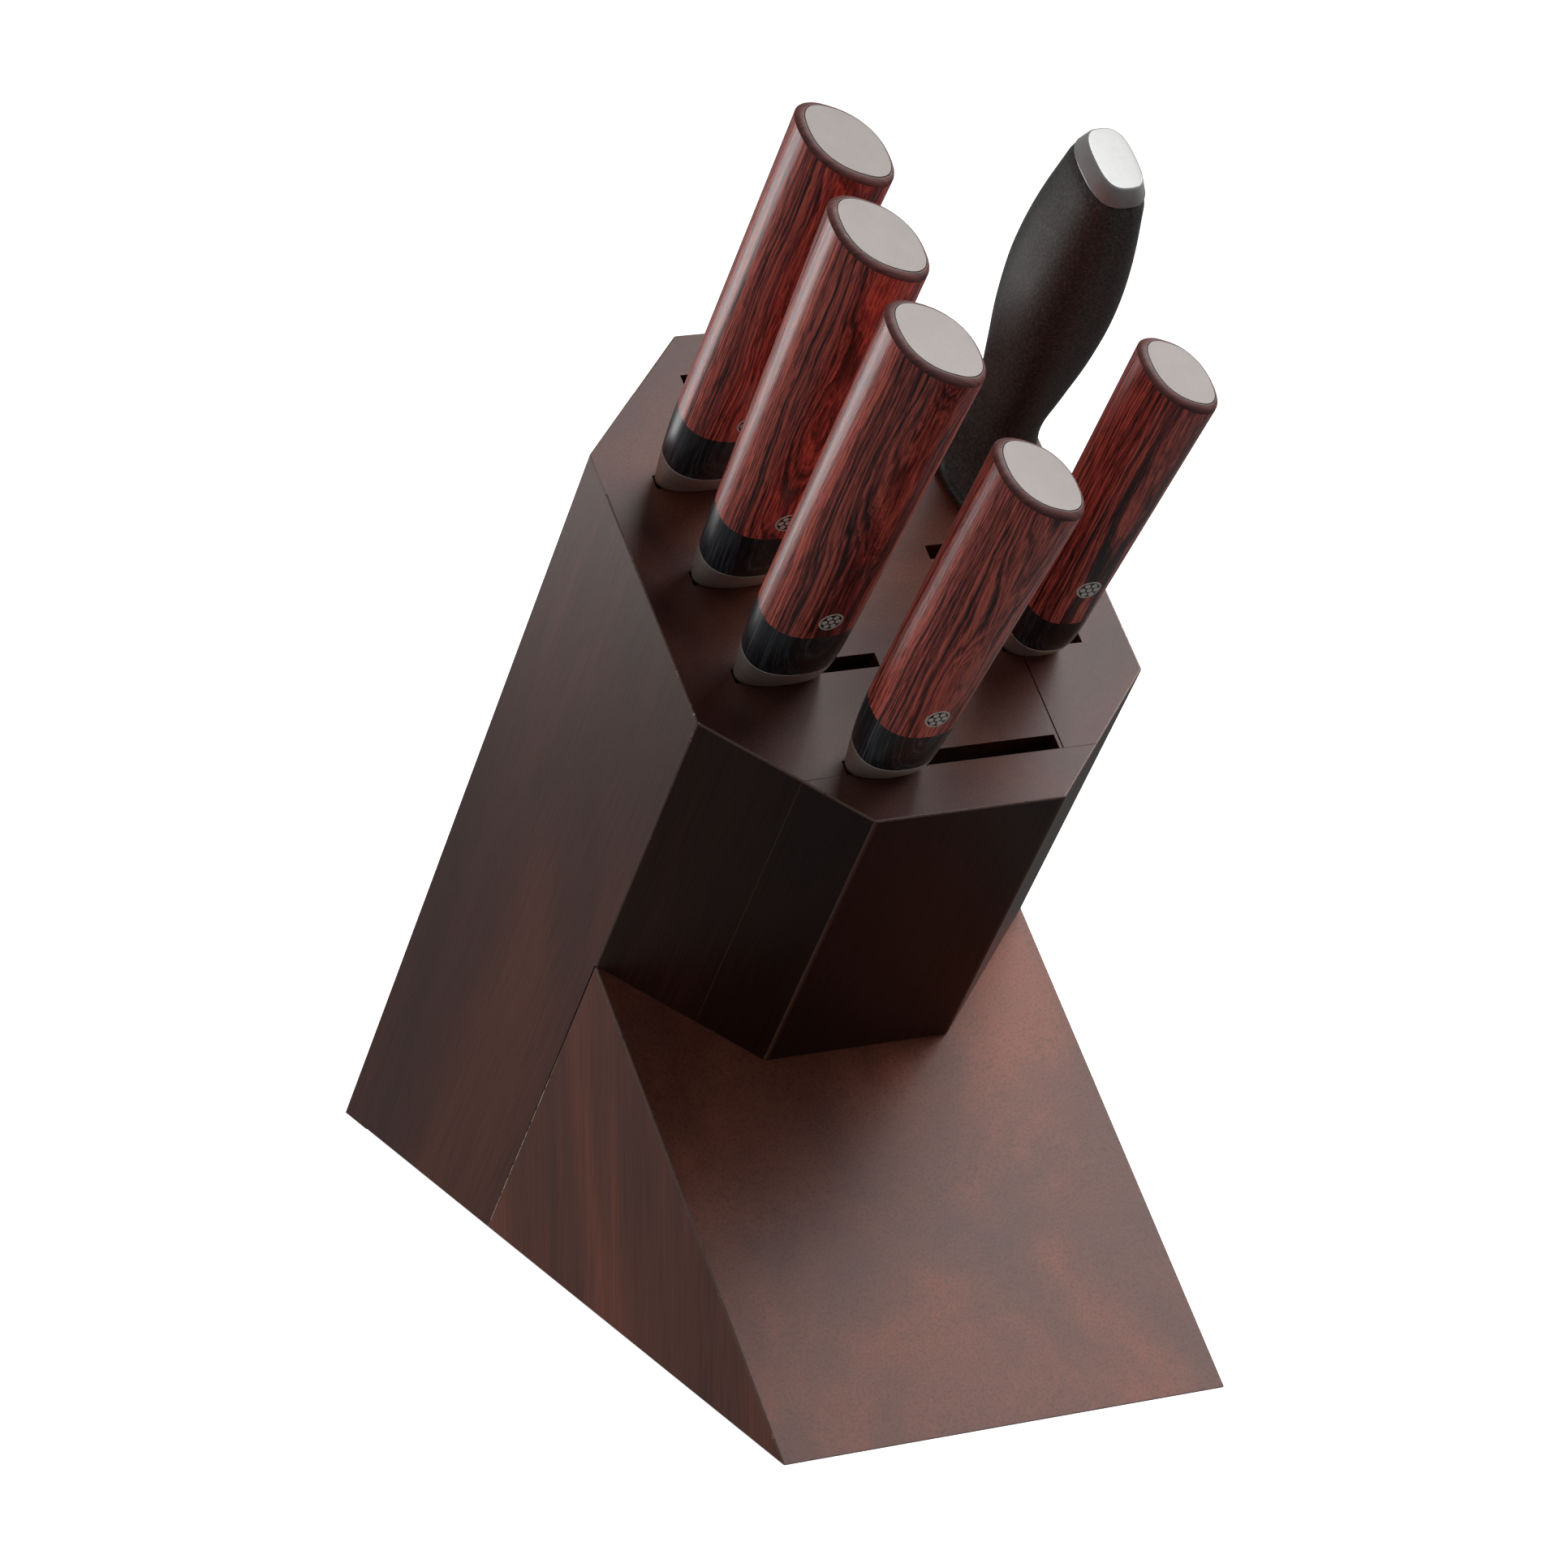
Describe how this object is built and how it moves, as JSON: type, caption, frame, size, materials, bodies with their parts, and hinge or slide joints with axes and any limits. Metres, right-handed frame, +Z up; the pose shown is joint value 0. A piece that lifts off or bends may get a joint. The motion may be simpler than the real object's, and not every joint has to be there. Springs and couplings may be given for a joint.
{
  "type": "knife block with knives",
  "caption": "Forward-leaning eight-sided wooden knife block on a wedge foot, holding knives with laminated wood handles and a honing steel, each of which slides out.",
  "frame": {"origin": "middle of the flat face that the block rests on", "axes": "+Z up, -Y towards the front, where the sloping foot is, +X to the right seen from the front"},
  "size_m": [0.125, 0.4076, 0.3357],
  "materials": {
    "stained_wood": "dark espresso stain under satin lacquer",
    "red_laminate": "red and black resin-bonded laminated wood, polished",
    "black_laminate": "blue-black resin-bonded laminated wood, polished",
    "ferrule_steel": "fine brushed",
    "cap_steel": "satin brushed",
    "blade_steel": "fine ground",
    "pin_metal": "polished flush",
    "pin_resin": "black resin polished flush",
    "black_plastic": "fine spark-eroded texture",
    "polished_cap": "polished"
  },
  "bodies": {
    "block": {"back_board": "stained_wood", "second_board": "stained_wood", "third_board": "stained_wood", "fourth_board": "stained_wood", "fifth_board_left": "stained_wood", "fifth_board_right": "stained_wood", "front_board": "stained_wood", "wedge_foot": "stained_wood"},
    "chef_knife": {"chef_blade": "blade_steel", "chef_ferrule": "ferrule_steel", "chef_collar": "black_laminate", "chef_grip": "red_laminate", "chef_butt_cap": "cap_steel", "chef_pin_tube": "pin_metal", "chef_pin_resin": "pin_resin", "chef_pin_rods": "pin_metal"},
    "bread_knife": {"bread_blade": "blade_steel", "bread_ferrule": "ferrule_steel", "bread_collar": "black_laminate", "bread_grip": "red_laminate", "bread_butt_cap": "cap_steel", "bread_pin_tube": "pin_metal", "bread_pin_resin": "pin_resin", "bread_pin_rods": "pin_metal"},
    "carving_knife": {"carving_blade": "blade_steel", "carving_ferrule": "ferrule_steel", "carving_collar": "black_laminate", "carving_grip": "red_laminate", "carving_butt_cap": "cap_steel", "carving_pin_tube": "pin_metal", "carving_pin_resin": "pin_resin", "carving_pin_rods": "pin_metal"},
    "prep_knife": {"prep_blade": "blade_steel", "prep_ferrule": "ferrule_steel", "prep_collar": "black_laminate", "prep_grip": "red_laminate", "prep_butt_cap": "cap_steel", "prep_pin_tube": "pin_metal", "prep_pin_resin": "pin_resin", "prep_pin_rods": "pin_metal"},
    "paring_knife": {"paring_blade": "blade_steel", "paring_ferrule": "ferrule_steel", "paring_collar": "black_laminate", "paring_grip": "red_laminate", "paring_butt_cap": "cap_steel", "paring_pin_tube": "pin_metal", "paring_pin_resin": "pin_resin", "paring_pin_rods": "pin_metal"},
    "honing_steel": {"honing_rod": "blade_steel", "honing_handle": "black_plastic", "honing_cap": "polished_cap"}
  },
  "joints": [
    {"name": "chef_draw", "type": "slide", "parent": "block", "child": "chef_knife", "axis": [0, -0.6428, 0.766], "range_m": [0, 0.215]},
    {"name": "bread_draw", "type": "slide", "parent": "block", "child": "bread_knife", "axis": [0, -0.6428, 0.766], "range_m": [0, 0.24]},
    {"name": "carving_draw", "type": "slide", "parent": "block", "child": "carving_knife", "axis": [0, -0.6428, 0.766], "range_m": [0, 0.227]},
    {"name": "prep_draw", "type": "slide", "parent": "block", "child": "prep_knife", "axis": [0, -0.6428, 0.766], "range_m": [0, 0.151]},
    {"name": "paring_draw", "type": "slide", "parent": "block", "child": "paring_knife", "axis": [0, -0.6428, 0.766], "range_m": [0, 0.1]},
    {"name": "steel_draw", "type": "slide", "parent": "block", "child": "honing_steel", "axis": [0, -0.6428, 0.766], "range_m": [0, 0.24]}
  ]
}
